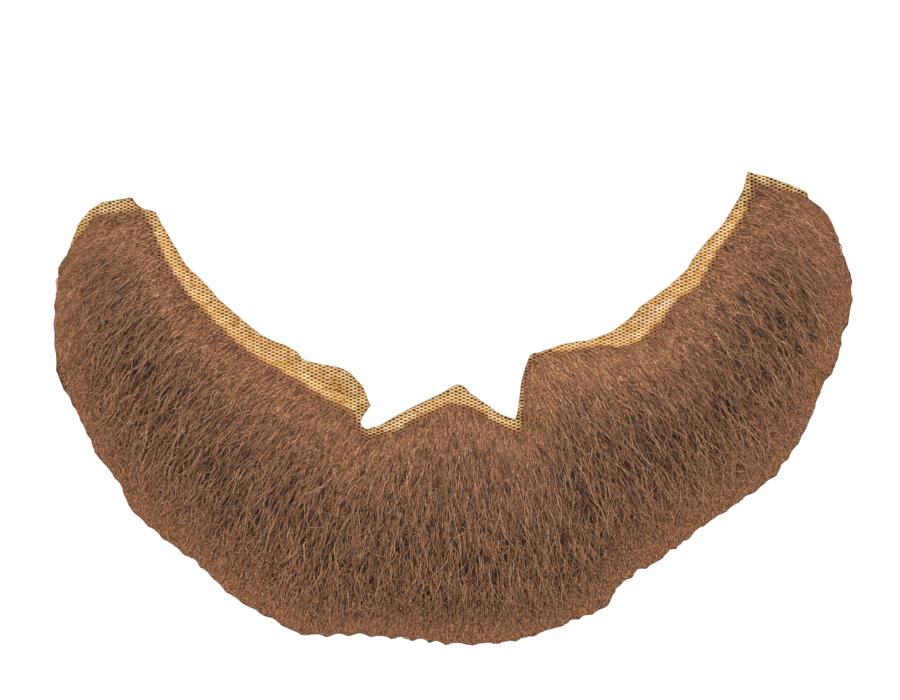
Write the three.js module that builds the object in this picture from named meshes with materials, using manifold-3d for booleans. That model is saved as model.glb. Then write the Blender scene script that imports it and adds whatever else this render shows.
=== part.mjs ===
import * as THREE from 'three';
import { mergeVertices } from 'three/addons/utils/BufferGeometryUtils.js';
import Module from 'manifold-3d';

// Fake full beard laid flat, hair side up: chin towards -Y, sideburns towards +Y.
// Sizes are millimetres. Angles are degrees from straight down, positive towards +X.
// Every section lies on a spoke of one fan, and a radius is counted from the fan's centre.
const FAN_X = 0;
const FAN_Y = 85;

// Net: one flat base, with a second strip of net along the hairline.
const NET_WALL = 1;
const SEAT_GAP = 0.3;
const HEM_SHOWN = 3.5;
const HEM_TUCK = 3;
const HEM_INSET = 0.8;
const SKIRT_SHARE = 0.62;
const OUTLINE_STEP = 2.5;

// Snip at the left corner of the mouth: a rounded notch under the tip of the cheek flap.
const NOTCH_X = -31.5;
const NOTCH_Y = -5.4;
const NOTCH_R = 2.8;

// Hair: a crowned pad with rows of combed locks laid over it like shingles.
const CROWN_END = 7;
const CROWN_CHIN = 10;
const ROOT_SHARE = 0.1;
const TIP_SHARE = 0.12;
const LOCK_PROUD = 2.2;
const LOCK_SINK = 5;
const LOCK_FLOOR = 0.5;
const FRINGE_ROOM = 4;
const PRISM_TOP = 40;
const PAD_LEAST = 1.3;
const PAD_REACH = 0.965;
const PAD_STEP = 3.8;
const COMB = 0.12;
const SKIRT_DROP = 3;
const END_ROOM = 9;
const SHOW_ROOM = 5;

// Cut edge of the net down the left cheek, from the sideburn's corner to the flap's tip.
const LEFT_CHEEK_EDGE = [
  { angle: -87, radius: 120.5 },
  { angle: -83, radius: 111.2 },
  { angle: -73, radius: 104.1 },
  { angle: -64, radius: 97.6 },
  { angle: -54.5, radius: 94 },
  { angle: -46, radius: 88.7 },
  { angle: -38.5, radius: 86.4 },
  { angle: -29.5, radius: 81.5 },
  { angle: -24, radius: 83.8 },
  { angle: -19.9, radius: 89.8 },
];

// Cut edge under the lip, up to its peak and down to the right corner of the mouth.
const LIP_EDGE = [
  { angle: -17.3, radius: 97 },
  { angle: -12, radius: 88.8 },
  { angle: -3.2, radius: 80.3 },
  { angle: 2.2, radius: 76.3 },
  { angle: 6, radius: 81.4 },
  { angle: 11.4, radius: 89 },
  { angle: 14.8, radius: 92.5 },
];

// Cut edge up the right cheek, from the mouth's corner to the sideburn's corner.
const RIGHT_CHEEK_EDGE = [
  { angle: 15.5, radius: 91 },
  { angle: 19.5, radius: 78.8 },
  { angle: 22, radius: 74.4 },
  { angle: 25, radius: 71.6 },
  { angle: 33, radius: 73.3 },
  { angle: 43.5, radius: 80.7 },
  { angle: 52, radius: 84.3 },
  { angle: 59.5, radius: 86.9 },
  { angle: 70.5, radius: 94.6 },
  { angle: 78.5, radius: 101.4 },
  { angle: 86, radius: 108.2 },
  { angle: 91.7, radius: 111 },
];

// Top edges of the two sideburns, from the inner corner out to where hair covers the net.
const LEFT_END = [
  { angle: -86.5, radius: 131.3 },
  { angle: -85.4, radius: 136.3 },
  { angle: -83.4, radius: 141.1 },
  { angle: -80.5, radius: 145.2 },
  { angle: -78, radius: 146 },
];
const RIGHT_END = [
  { angle: 90.5, radius: 120 },
  { angle: 89.3, radius: 126.5 },
  { angle: 88, radius: 132 },
  { angle: 85.5, radius: 134 },
];

// Sections of the hair: radius of its roots at the hairline and of its tips.
const HAIR = [
  { angle: -84.5, root: 117, tip: 134 },
  { angle: -82, root: 114.5, tip: 139.5 },
  { angle: -78, root: 112.5, tip: 149.5 },
  { angle: -74, root: 111, tip: 154 },
  { angle: -69, root: 108.5, tip: 158.5 },
  { angle: -60, root: 103.7, tip: 164.5 },
  { angle: -48, root: 98.7, tip: 170.5 },
  { angle: -36, root: 94.3, tip: 173 },
  { angle: -24, root: 94.1, tip: 177.5 },
  { angle: -19, root: 100.3, tip: 179 },
  { angle: -13.3, root: 96.3, tip: 176 },
  { angle: -7, root: 88.2, tip: 173 },
  { angle: 0, root: 83.8, tip: 173.3 },
  { angle: 5.5, root: 85.7, tip: 173.7 },
  { angle: 11, root: 92.8, tip: 173 },
  { angle: 14.9, root: 96.2, tip: 171.5 },
  { angle: 19.5, root: 79.8, tip: 169.8 },
  { angle: 22, root: 75.2, tip: 165.5 },
  { angle: 25, root: 72.4, tip: 163 },
  { angle: 33, root: 76.3, tip: 160.5 },
  { angle: 42, root: 83.4, tip: 162 },
  { angle: 46, root: 89.6, tip: 163.8 },
  { angle: 51, root: 92.9, tip: 163.5 },
  { angle: 62, root: 95.4, tip: 159 },
  { angle: 67, root: 100, tip: 157.5 },
  { angle: 74, root: 102.5, tip: 154.5 },
  { angle: 81, root: 108, tip: 147 },
  { angle: 85, root: 111.8, tip: 141 },
  { angle: 88.5, root: 114.6, tip: 130 },
];

// Rows of locks from the fringe up to the hairline: where roots start, how far each lock
// reaches (both as shares of the hair's length), how many locks, and how wide each one is.
const LOCK_ROWS = [
  { start: 0.56, reach: 0.44, count: 33, width: 18 },
  { start: 0.37, reach: 0.43, count: 30, width: 17.5 },
  { start: 0.19, reach: 0.43, count: 28, width: 17 },
  { start: 0.01, reach: 0.43, count: 27, width: 16 },
];

// Width of a lock along its length, as shares of its full width.
const LOCK_TAPER = [
  { along: 0, share: 0.7 },
  { along: 0.3, share: 1 },
  { along: 0.65, share: 0.95 },
  { along: 0.9, share: 0.68 },
];
const LOCK_END = 0.36;

const wasm = await Module();
wasm.setup();

const rad = THREE.MathUtils.degToRad;
const lerp = THREE.MathUtils.lerp;
const clamp = THREE.MathUtils.clamp;

// Point in plan on the spoke at an angle.
function spoke(angle, radius) {
  return new THREE.Vector2(
    FAN_X + radius * Math.sin(rad(angle)),
    FAN_Y - radius * Math.cos(rad(angle)),
  );
}

// Steady number from 0 to 1 for each index and use.
function spread(index, use) {
  const s = Math.sin(index * 12.9898 + use * 78.233) * 43758.5453;
  return s - Math.floor(s);
}

// One column of a table as a smooth function of angle that never overshoots its rows.
function columnOf(rows, name) {
  const rise = rows.slice(1).map((row, i) => (row[name] - rows[i][name]) / (row.angle - rows[i].angle));
  const slope = rows.map((row, i) => {
    const before = rise[Math.max(i - 1, 0)];
    const after = rise[Math.min(i, rise.length - 1)];
    return before * after > 0 ? (2 * before * after) / (before + after) : 0;
  });
  return (angle) => {
    const past = rows.findIndex((row) => row.angle > angle);
    const i = clamp(past < 0 ? rows.length - 2 : past - 1, 0, rows.length - 2);
    const run = rows[i + 1].angle - rows[i].angle;
    const u = clamp((angle - rows[i].angle) / run, 0, 1);
    const h = u * u * (3 - 2 * u);
    const p = u * (1 - u) * (1 - u);
    const q = u * u * (1 - u);
    return lerp(rows[i][name], rows[i + 1][name], h) + run * (p * slope[i] - q * slope[i + 1]);
  };
}

// Evenly spaced angles from one to the other, both ends included.
function angles(from, to, step) {
  const count = Math.max(2, Math.round(Math.abs(to - from) / step));
  return Array.from({ length: count + 1 }, (_, i) => lerp(from, to, i / count));
}

const hairRoot = columnOf(HAIR, 'root');
const hairTip = columnOf(HAIR, 'tip');
const HAIR_FROM = HAIR[0].angle;
const HAIR_TO = HAIR[HAIR.length - 1].angle;

// Radius of the net's hidden outer edge, under the hair.
function skirt(angle) {
  return lerp(hairRoot(angle), hairTip(angle), SKIRT_SHARE);
}

// Points of a cut edge given by its table.
function cutEdge(rows) {
  const radius = columnOf(rows, 'radius');
  return angles(rows[0].angle, rows[rows.length - 1].angle, OUTLINE_STEP).map((a) => spoke(a, radius(a)));
}

// Flat sheet of net cut to an outline, with its underside at a height.
function sheet(shape, z) {
  const cut = { depth: NET_WALL, bevelEnabled: false, curveSegments: 12 };
  return new THREE.ExtrudeGeometry(shape, cut).translate(0, 0, z);
}

function netOutline() {
  const shape = new THREE.Shape();
  cutEdge(LEFT_CHEEK_EDGE).forEach((p, i) => (i ? shape.lineTo(p.x, p.y) : shape.moveTo(p.x, p.y)));
  shape.absarc(NOTCH_X, NOTCH_Y, NOTCH_R, rad(165), rad(315), false);
  cutEdge(LIP_EDGE).forEach((p) => shape.lineTo(p.x, p.y));
  cutEdge(RIGHT_CHEEK_EDGE).forEach((p) => shape.lineTo(p.x, p.y));
  RIGHT_END.forEach((row) => shape.lineTo(...spoke(row.angle, row.radius).toArray()));
  angles(80, -72, 2 * OUTLINE_STEP).forEach((a) => shape.lineTo(...spoke(a, skirt(a)).toArray()));
  [...LEFT_END].reverse().forEach((row) => shape.lineTo(...spoke(row.angle, row.radius).toArray()));
  shape.closePath();
  return shape;
}

// Strip of net along the hairline, partly shown and partly tucked under the roots.
function hemOutline(edgeRows, from, to) {
  const edge = columnOf(edgeRows, 'radius');
  const run = angles(from, to, OUTLINE_STEP);
  const shown = (a) => Math.max(edge(a) + HEM_INSET, hairRoot(a) - HEM_SHOWN);
  const inner = run.map((a) => spoke(a, shown(a)));
  const outer = run.map((a) => spoke(a, hairRoot(a) + HEM_TUCK)).reverse();
  return new THREE.Shape([...inner, ...outer]);
}

// Heights through the hair: the share runs from 0 at the roots to 1 at the tips.
const HEM_SEAT = 2 * (NET_WALL + SEAT_GAP);
const NET_SEAT = NET_WALL + SEAT_GAP;

function crown(angle) {
  return CROWN_END + CROWN_CHIN * Math.pow(Math.max(Math.cos(rad(angle)), 0), 0.7);
}

function pileTop(angle, share) {
  const seat = lerp(HEM_SEAT, 0, THREE.MathUtils.smoothstep(share, 0, 0.9));
  const swell = 0.8 * Math.pow(Math.max(Math.sin(Math.PI * clamp(share, 0, 1)), 0), 0.8);
  return seat + crown(angle) * (lerp(ROOT_SHARE, TIP_SHARE, share) + swell);
}

function padTop(angle, share) {
  const seat = lerp(HEM_SEAT, 0, THREE.MathUtils.smoothstep(share, 0, 0.9));
  return Math.max(pileTop(angle, share) - LOCK_PROUD, seat + PAD_LEAST);
}

// Outer limit of the net under the hair, with room past its cut edge.
function skirtSeat(angle) {
  const ends = angle < 0 ? LEFT_END : RIGHT_END;
  const near = ends.filter((row) => Math.abs(row.angle - angle) < END_ROOM);
  return Math.max(skirt(angle) + 1, ...near.map((row) => row.radius + 1));
}

// True on the sideburn's top, where the net runs out past the hair.
function netShows(angle) {
  const rim = lerp(hairRoot(angle), hairTip(angle), PAD_REACH);
  return skirtSeat(angle) > rim - SKIRT_DROP - SHOW_ROOM;
}

// Lowest that a lock may reach inside the pad, kept above what lies under it.
function lockLow(angle, share) {
  if (share > PAD_REACH - 0.05) {
    return netShows(angle) ? NET_SEAT + LOCK_FLOOR : 0;
  }
  const radius = lerp(hairRoot(angle), hairTip(angle), share);
  const overHem = radius < hairRoot(angle) + HEM_TUCK + 5;
  const seat = overHem ? HEM_SEAT : NET_SEAT;
  return Math.max(padTop(angle, share) - LOCK_SINK, seat + LOCK_FLOOR);
}

// Closed mesh through rings of equal count: cap, walls, cap.
function loft(rings, capFaces) {
  const count = rings[0].length;
  const last = (rings.length - 1) * count;
  const faces = [];
  for (let j = 0; j + 1 < rings.length; j++) {
    for (let i = 0; i < count; i++) {
      const a = j * count + i;
      const b = j * count + ((i + 1) % count);
      faces.push(a, b, b + count, a, b + count, a + count);
    }
  }
  capFaces.forEach(([a, b, c]) => faces.push(c, b, a, last + a, last + b, last + c));
  const geometry = new THREE.BufferGeometry().setFromPoints(rings.flat());
  geometry.setIndex(faces);
  return geometry;
}

// The pad: one cross-section on each spoke, stepped underneath to clear the hem and the net.
const PAD_TOP_SHARES = [0, 0.14, 0.28, 0.5, 0.72, 0.9, 1];

function padSection(angle) {
  const root = hairRoot(angle);
  const rim = lerp(root, hairTip(angle), PAD_REACH);
  const netEnd = Math.min(skirtSeat(angle), rim - SKIRT_DROP - 1);
  const floor = netShows(angle) ? NET_SEAT : 0;
  const under = [
    [root, HEM_SEAT],
    [root + HEM_TUCK + 1, HEM_SEAT],
    [root + HEM_TUCK + 3, NET_SEAT],
    [netEnd, NET_SEAT],
    [netEnd + SKIRT_DROP, floor],
    [rim, floor],
  ];
  const over = PAD_TOP_SHARES.map((s) => [lerp(rim, root, s), padTop(angle, (1 - s) * PAD_REACH)]);
  return [...under, ...over];
}

function padGeometry() {
  const run = angles(HAIR_FROM, HAIR_TO, PAD_STEP);
  const flat = run.map((a) => padSection(a));
  const rings = flat.map((section, i) =>
    section.map(([r, z]) => {
      const p = spoke(run[i], r);
      return new THREE.Vector3(p.x, p.y, z);
    }),
  );
  const cap = THREE.ShapeUtils.triangulateShape(flat[0].map(([r, z]) => new THREE.Vector2(r, z)), []);
  return loft(rings, cap);
}

// A lock: three-cornered sections along a combed line, drawn together to a tip.
function lockGeometry(row, index, seed) {
  const pitch = (HAIR_TO - HAIR_FROM) / row.count;
  const rootAngle = HAIR_FROM + pitch * (index + 0.5 + 0.4 * (spread(seed, 1) - 0.5));
  const reach = row.reach * (0.925 + 0.08 * spread(seed, 2));
  const lift = 0.5 + 1.4 * (spread(seed, 3) - 0.5);
  const sway = 1.3 * (spread(seed, 4) - 0.5);
  const line = (along) => {
    const share = row.start + reach * along;
    const bent = COMB * (share - row.start) * (1 + 0.5 * along);
    const angle = rootAngle * (1 - bent) + sway * Math.sin(Math.PI * along);
    const p = spoke(angle, lerp(hairRoot(angle), hairTip(angle), share));
    return { p, angle, share };
  };
  const rings = LOCK_TAPER.map(({ along, share: taper }) => {
    const { p, angle, share } = line(along);
    const ahead = line(along + 0.05).p.sub(p).normalize();
    const half = (row.width * taper * (0.9 + 0.25 * spread(seed, 5))) / 2;
    const low = lockLow(angle, share);
    const high = pileTop(angle, share) + lift * taper;
    return [
      new THREE.Vector3(p.x - ahead.y * half, p.y + ahead.x * half, low),
      new THREE.Vector3(p.x + ahead.y * half, p.y - ahead.x * half, low),
      new THREE.Vector3(p.x, p.y, high),
    ];
  });
  const end = line(1);
  const low = lockLow(end.angle, end.share);
  const high = end.share < PAD_REACH - 0.05 ? pileTop(end.angle, end.share) : low + 1.6;
  const ahead = end.p.clone().sub(line(0.95).p).normalize();
  const half = (row.width * LOCK_END) / 2;
  rings.push([
    new THREE.Vector3(end.p.x - ahead.y * half, end.p.y + ahead.x * half, low),
    new THREE.Vector3(end.p.x + ahead.y * half, end.p.y - ahead.x * half, low),
    new THREE.Vector3(end.p.x, end.p.y, high),
  ]);
  return loft(rings, [[0, 1, 2]]);
}

// Solid for a union, turned outward if its rings ran the other way.
function solid(geometry) {
  const plain = geometry.clone();
  plain.deleteAttribute('normal');
  plain.deleteAttribute('uv');
  const merged = mergeVertices(plain, 1e-4);
  const vertProperties = new Float32Array(merged.attributes.position.array);
  const triVerts = new Uint32Array(merged.index.array);
  const volume = signedVolume(vertProperties, triVerts);
  if (volume < 0) {
    for (let i = 0; i < triVerts.length; i += 3) {
      [triVerts[i], triVerts[i + 1]] = [triVerts[i + 1], triVerts[i]];
    }
  }
  return new wasm.Manifold(new wasm.Mesh({ numProp: 3, vertProperties, triVerts }));
}

function signedVolume(points, faces) {
  const corner = (i) => new THREE.Vector3().fromArray(points, 3 * i);
  let sum = 0;
  for (let i = 0; i < faces.length; i += 3) {
    sum += corner(faces[i]).dot(corner(faces[i + 1]).cross(corner(faces[i + 2])));
  }
  return sum;
}

function fromSolid(body) {
  const mesh = body.getMesh();
  const geometry = new THREE.BufferGeometry();
  geometry.setAttribute('position', new THREE.BufferAttribute(new Float32Array(mesh.vertProperties), 3));
  geometry.setIndex(new THREE.BufferAttribute(new Uint32Array(mesh.triVerts), 1));
  geometry.computeVertexNormals();
  return geometry;
}

// Upright prism over the hair's plan: trims roots to the hairline and the two end lines.
function hairPrism() {
  const run = angles(HAIR_FROM, HAIR_TO, OUTLINE_STEP);
  const roots = run.map((a) => spoke(a, hairRoot(a)));
  const tips = run.map((a) => spoke(a, hairTip(a) + FRINGE_ROOM)).reverse();
  const shape = new THREE.Shape([...roots, ...tips]);
  return new THREE.ExtrudeGeometry(shape, { depth: PRISM_TOP, bevelEnabled: false });
}

function hairGeometry() {
  let body = solid(padGeometry());
  let seed = 0;
  for (const row of LOCK_ROWS) {
    for (let index = 0; index < row.count; index++) {
      seed += 1;
      body = body.add(solid(lockGeometry(row, index, seed)));
    }
  }
  return fromSolid(body.intersect(solid(hairPrism())));
}

const netMaterial = new THREE.MeshStandardMaterial({ color: 0xc89d68, roughness: 0.85, metalness: 0 });
const hemMaterial = new THREE.MeshStandardMaterial({ color: 0xd2a55f, roughness: 0.85, metalness: 0 });
const hairMaterial = new THREE.MeshStandardMaterial({ color: 0x7a573e, roughness: 0.7, metalness: 0 });

const beard = new THREE.Group();
beard.name = 'fake_beard';

function addPiece(name, geometry, material) {
  const piece = new THREE.Mesh(geometry, material);
  piece.name = name;
  beard.add(piece);
}

addPiece('net_base', sheet(netOutline(), 0), netMaterial);
addPiece('net_hem_left', sheet(hemOutline(LEFT_CHEEK_EDGE, -80, -23), NET_SEAT), hemMaterial);
addPiece('net_hem_lip', sheet(hemOutline(LIP_EDGE, -15.5, 13.5), NET_SEAT), hemMaterial);
addPiece('net_hem_right', sheet(hemOutline(RIGHT_CHEEK_EDGE, 30, 85), NET_SEAT), hemMaterial);
addPiece('hair', hairGeometry(), hairMaterial);

export default beard;
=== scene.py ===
# %% [markdown]
# # A fake beard, laid flat with its hair up
# The real thing is a piece of tan wig net with brown hair knotted into it. The net lies
# flat on the table, and its bare border shows along the cheeks and the lip. This script
# loads the packed solids as a fixed frame and dresses them: threads for the net, and
# thousands of fine strands for the hair.

import bpy
import numpy as np
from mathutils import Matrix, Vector


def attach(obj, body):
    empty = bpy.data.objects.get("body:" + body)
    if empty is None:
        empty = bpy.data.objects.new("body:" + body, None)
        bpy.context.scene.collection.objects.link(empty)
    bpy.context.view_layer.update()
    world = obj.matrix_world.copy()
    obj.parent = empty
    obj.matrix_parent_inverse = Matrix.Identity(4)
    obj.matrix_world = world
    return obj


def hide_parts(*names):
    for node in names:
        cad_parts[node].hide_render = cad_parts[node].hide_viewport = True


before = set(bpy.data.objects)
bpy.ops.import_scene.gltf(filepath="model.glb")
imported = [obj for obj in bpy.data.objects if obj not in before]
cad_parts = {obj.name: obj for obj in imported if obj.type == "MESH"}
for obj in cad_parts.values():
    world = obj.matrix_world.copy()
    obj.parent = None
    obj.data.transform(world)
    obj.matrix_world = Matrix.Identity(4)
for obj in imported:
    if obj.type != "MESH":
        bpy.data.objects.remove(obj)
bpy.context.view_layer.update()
MM = 0.001
SEED = 20
print("frame nodes:", sorted(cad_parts))

# %% [markdown]
# ## The fan that everything is drawn on
# A beard spreads like a fan. A place on it is an angle from straight down and a radius
# from the fan's centre, so one short table of sections gives the hairline and the tips.
# All but a few rows at the sideburn tops drive the solids too, so the dressing lies on them.

# %% Sections of the beard, in millimetres and degrees
FAN_Y = 85.0
LEFT_CHEEK_EDGE = np.array([  # angle, radius of the net's cut edge
    (-87, 120.5), (-85.8, 118.9), (-84.8, 116.4), (-84.2, 112), (-82, 110.4), (-73, 104.1),
    (-64, 97.6), (-54.5, 94), (-46, 88.7), (-38.5, 86.4), (-29.5, 81.5), (-24, 83.8), (-19.9, 89.8)])
LIP_EDGE = np.array([
    (-17.3, 97), (-12, 88.8), (-3.2, 80.3), (2.2, 76.3), (6, 81.4), (11.4, 89), (14.8, 92.5)])
RIGHT_CHEEK_EDGE = np.array([
    (15.5, 91), (19.5, 78.8), (22, 74.4), (25, 71.6), (33, 73.3), (43.5, 80.7), (52, 84.3),
    (59.5, 86.9), (70.5, 94.6), (78.5, 101.4), (86, 108.2), (91.7, 111)])
LEFT_END = np.array([
    (-86.5, 131.3), (-85.4, 136.3), (-83.4, 141.1), (-80.5, 145.2), (-78, 146)])
RIGHT_END = np.array([(90.5, 120), (89.3, 127), (88.1, 133.3), (85.5, 135)])
HAIR = np.array([  # angle, radius of the roots at the hairline, radius of the tips
    (-84.5, 117, 134), (-82, 114.5, 139.5), (-78, 112.5, 149.5), (-74, 111, 154),
    (-69, 108.5, 158.5), (-60, 103.7, 164.5), (-48, 98.7, 170.5), (-36, 94.3, 173),
    (-24, 94.1, 177.5), (-19, 100.3, 179), (-13.3, 96.3, 176), (-7, 88.2, 173),
    (0, 83.8, 173.3), (5.5, 85.7, 173.7), (11, 92.8, 173), (14.9, 96.2, 171.5),
    (19.5, 79.8, 169.8), (22, 75.2, 165.5), (25, 72.4, 163), (33, 76.3, 160.5),
    (42, 83.4, 162), (46, 89.6, 163.8), (51, 92.9, 163.5), (62, 95.4, 159),
    (67, 100, 157.5), (74, 102.5, 154.5), (81, 108, 147), (85, 111.2, 141), (88.5, 112.6, 130)])
HAIR_FROM, HAIR_TO = HAIR[0, 0], HAIR[-1, 0]


def column(rows, index):
    """A smooth function of angle through one column: cubic pieces whose slope at each row is
    the harmonic mean of the slopes on both sides, so the curve never overshoots its rows."""
    angle, value = rows[:, 0], rows[:, index]
    run = np.diff(angle)
    rise = np.diff(value) / run
    before, after = np.r_[rise[0], rise], np.r_[rise, rise[-1]]
    both = before * after
    slope = np.where(both > 0, 2 * both / np.where(both > 0, before + after, 1), 0)

    def at(x):
        i = np.clip(np.searchsorted(angle, x, "right") - 1, 0, len(run) - 1)
        u = np.clip((x - angle[i]) / run[i], 0, 1)
        h = u * u * (3 - 2 * u)
        bend = u * (1 - u) ** 2 * slope[i] - u * u * (1 - u) * slope[i + 1]
        return value[i] * (1 - h) + value[i + 1] * h + run[i] * bend

    return at


hair_root, hair_tip = column(HAIR, 1), column(HAIR, 2)


def spoke(angle, radius):
    """Plan point at an angle and radius of the fan: x = r sin a, y = centre - r cos a."""
    a = np.radians(angle)
    return np.stack([radius * np.sin(a), FAN_Y - radius * np.cos(a)], -1)


def on_fan(xy):
    """Angle and radius of plan points."""
    dx, dy = xy[..., 0], FAN_Y - xy[..., 1]
    return np.degrees(np.arctan2(dx, dy)), np.hypot(dx, dy)


def mix(a, b, t):
    """From a at t = 0 to b at t = 1, along a straight line."""
    return a + (b - a) * t


def ease(t, low=0.0, high=1.0):
    """0 below low, 1 above high, and a smooth S between."""
    t = np.clip((t - low) / (high - low), 0, 1)
    return t * t * (3 - 2 * t)


def hill(value, middle, width):
    """A smooth hill: 1 at the middle, and about a third one width away from it."""
    return np.exp(-((value - middle) / width) ** 2)


def radius_at(angle, share):
    """Radius at a share of the way from the hairline, 0, to the tips, 1."""
    return mix(hair_root(angle), hair_tip(angle), share)


def share_of(angle, radius):
    """The share of that way at a radius."""
    root, tip = hair_root(angle), hair_tip(angle)
    return (radius - root) / (tip - root)


print("hair is", round(float(hair_tip(0.0) - hair_root(0.0))), "mm long at the chin")

# %% [markdown]
# ## Camera, floor and light
# The beard lies on a pale table and is seen straight from above, so the camera looks down
# with a long lens. One picture element is 0.375 mm. The light is soft and comes mostly
# from over the camera, so the strands shade each other and the table stays almost white.

# %% Stage
PIXEL = 0.375          # millimetres to a picture element
PICTURE = (900, 700)   # picture elements across and down
ORIGIN = (452, 407)    # the picture element where the frame's origin lies
NET_LEVEL = 2.0        # height in millimetres at which that scale holds
CAMERA_HEIGHT = 1700.0


def add(name, data):
    """Puts a mesh, light or camera into the scene."""
    made = bpy.data.objects.new(name, data)
    bpy.context.scene.collection.objects.link(made)
    return made


def area_light(name, place, aim, size, power):
    """A square soft light at a place, turned to face a point."""
    data = bpy.data.lights.new(name, "AREA")
    data.size, data.energy = size, power
    lamp = add(name, data)
    lamp.location = place
    lamp.rotation_euler = (Vector(aim) - Vector(place)).to_track_quat("-Z", "Y").to_euler()


lens = bpy.data.cameras.new("camera")
lens.lens = lens.sensor_width * CAMERA_HEIGHT / (PICTURE[0] * PIXEL)
camera = add("camera", lens)
camera.location = ((PICTURE[0] / 2 - ORIGIN[0]) * PIXEL * MM, (ORIGIN[1] - PICTURE[1] / 2) * PIXEL * MM,
                   (CAMERA_HEIGHT + NET_LEVEL) * MM)
bpy.context.scene.camera = camera

area_light("key", (-0.2, 0.55, 1.6), (0, 0, 0), 0.6, 20)
area_light("fill", (0.6, -0.5, 1.6), (0, 0, 0), 1.2, 9)
world = bpy.data.worlds.new("studio")
world.use_nodes = True
sky = world.node_tree.nodes["Background"].inputs
sky["Color"].default_value, sky["Strength"].default_value = (1, 1, 1, 1), 0.45
bpy.context.scene.world = world
bpy.context.scene.view_settings.view_transform = "Standard"
print("lens", round(lens.lens), "mm")

# %% [markdown]
# ## Shader maths as Python
# A finish is a small network of nodes. Wrapping a socket in a class lets a formula be typed
# as ordinary arithmetic, and every operator adds the Math node that does it.

# %% A socket that can be added and multiplied


class Wire:
    """One socket of a node tree. Arithmetic on it adds Math nodes; node() adds any other."""

    def __init__(self, tree, socket=None):
        self.tree, self.socket = tree, socket

    def node(self, kind, settings=None, inputs=None, out=0):
        """A new node with its settings and inputs, as a wire from one of its outputs."""
        made = self.tree.nodes.new(kind)
        for name, value in (settings or {}).items():
            setattr(made, name, value)
        for name, value in (inputs or {}).items():
            if isinstance(value, Wire):
                self.tree.links.new(value.socket, made.inputs[name])
            else:
                made.inputs[name].default_value = value
        return Wire(self.tree, made.outputs[out])

    def math(self, operation, a, b=0.0, c=0.0):
        """One Math node on up to three values."""
        return self.node("ShaderNodeMath", {"operation": operation}, {0: a, 1: b, 2: c})

    def __add__(self, other):
        return self.math("ADD", self, other)

    def __sub__(self, other):
        return self.math("SUBTRACT", self, other)

    def __rsub__(self, other):
        return self.math("SUBTRACT", other, self)

    def __mul__(self, other):
        return self.math("MULTIPLY", self, other)

    __radd__, __rmul__ = __add__, __mul__

    def read(self, name):
        """The number that a piece carries under a name."""
        return self.node("ShaderNodeAttribute", {"attribute_name": name}, out="Fac")

    def place(self):
        """Where a point lies on the object, in metres."""
        return self.node("ShaderNodeTexCoord", out="Object")

    def part(self, axis):
        """X, Y or Z of a vector."""
        return self.node("ShaderNodeSeparateXYZ", None, {"Vector": self}, out=axis)

    def flat(self, x, y):
        """Two wires as one vector."""
        return self.node("ShaderNodeCombineXYZ", None, {"X": x, "Y": y})

    def noise(self, scale, vector=None, detail=2.0, **settings):
        """Soft random values from 0 to 1, by place unless a vector is given."""
        return self.node("ShaderNodeTexNoise", settings, {
            "Scale": scale, "Detail": detail, "Vector": vector or self.place()}, out="Fac")

    def remap(self, low, high, first=0.0, last=1.0):
        """The range from low to high, stretched to run from first to last and held there."""
        return self.node("ShaderNodeMapRange", {"clamp": True}, {
            "Value": self, "From Min": low, "From Max": high, "To Min": first, "To Max": last})

    def ramp(self, *stops):
        """A colour by this wire, between stops of a place and a colour."""
        made = self.node("ShaderNodeValToRGB", None, {"Fac": self})
        elements = made.socket.node.color_ramp.elements
        while len(elements) < len(stops):
            elements.new(1.0)
        for element, (place, colour) in zip(elements, stops):
            element.position, element.color = place, (*colour, 1.0)
        return made

    def blend(self, a, b):
        """Colour a to colour b by this wire."""
        a, b = (c if isinstance(c, Wire) else (*c, 1.0) for c in (a, b))
        return self.node("ShaderNodeMix", {"data_type": "RGBA"}, {0: self, 6: a, 7: b}, out=2)

    def tint(self, other):
        """This colour times another."""
        return self.node("ShaderNodeMix", {"data_type": "RGBA", "blend_type": "MULTIPLY"},
                         {0: 1.0, 6: self, 7: other}, out=2)

    def relief(self, strength, distance):
        """A normal that makes this wire look raised."""
        return self.node("ShaderNodeBump", None, {
            "Strength": strength, "Distance": distance, "Height": self}, out="Normal")


print("a wire can", ", ".join(name for name in vars(Wire) if not name.startswith("_")))

# %% Finishes


def finish(name, roughness, specular):
    """A new material: its start wire and its Principled shader."""
    made = bpy.data.materials.new(name)
    made.use_nodes = True
    shader = made.node_tree.nodes["Principled BSDF"]
    shader.inputs["Roughness"].default_value = roughness
    shader.inputs["Specular IOR Level"].default_value = specular
    return made, Wire(made.node_tree), shader


def srgb(r, g, b):
    """A colour read off the screen, 0 to 255, as linear light."""
    c = np.array([r, g, b]) / 255
    return tuple(float(v) for v in np.where(c < 0.04045, c / 12.92, ((c + 0.055) / 1.055) ** 2.4))


def paint(shader, wire, socket="Base Color"):
    """Joins a wire to one input of a shader."""
    wire.tree.links.new(wire.socket, shader.inputs[socket])


table_top, start, shader = finish("table_top", 0.9, 0.1)
paint(shader, start.noise(2.0).blend((0.93, 0.93, 0.93), (0.95, 0.95, 0.95)))
print("first finish:", table_top.name)

# %% [markdown]
# ### Meshes from arrays
# A piece is an array of points and an array of faces. Blender takes whole arrays much faster
# than single points, which matters for a coat of many thousand hairs.

# %% Pieces


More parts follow.
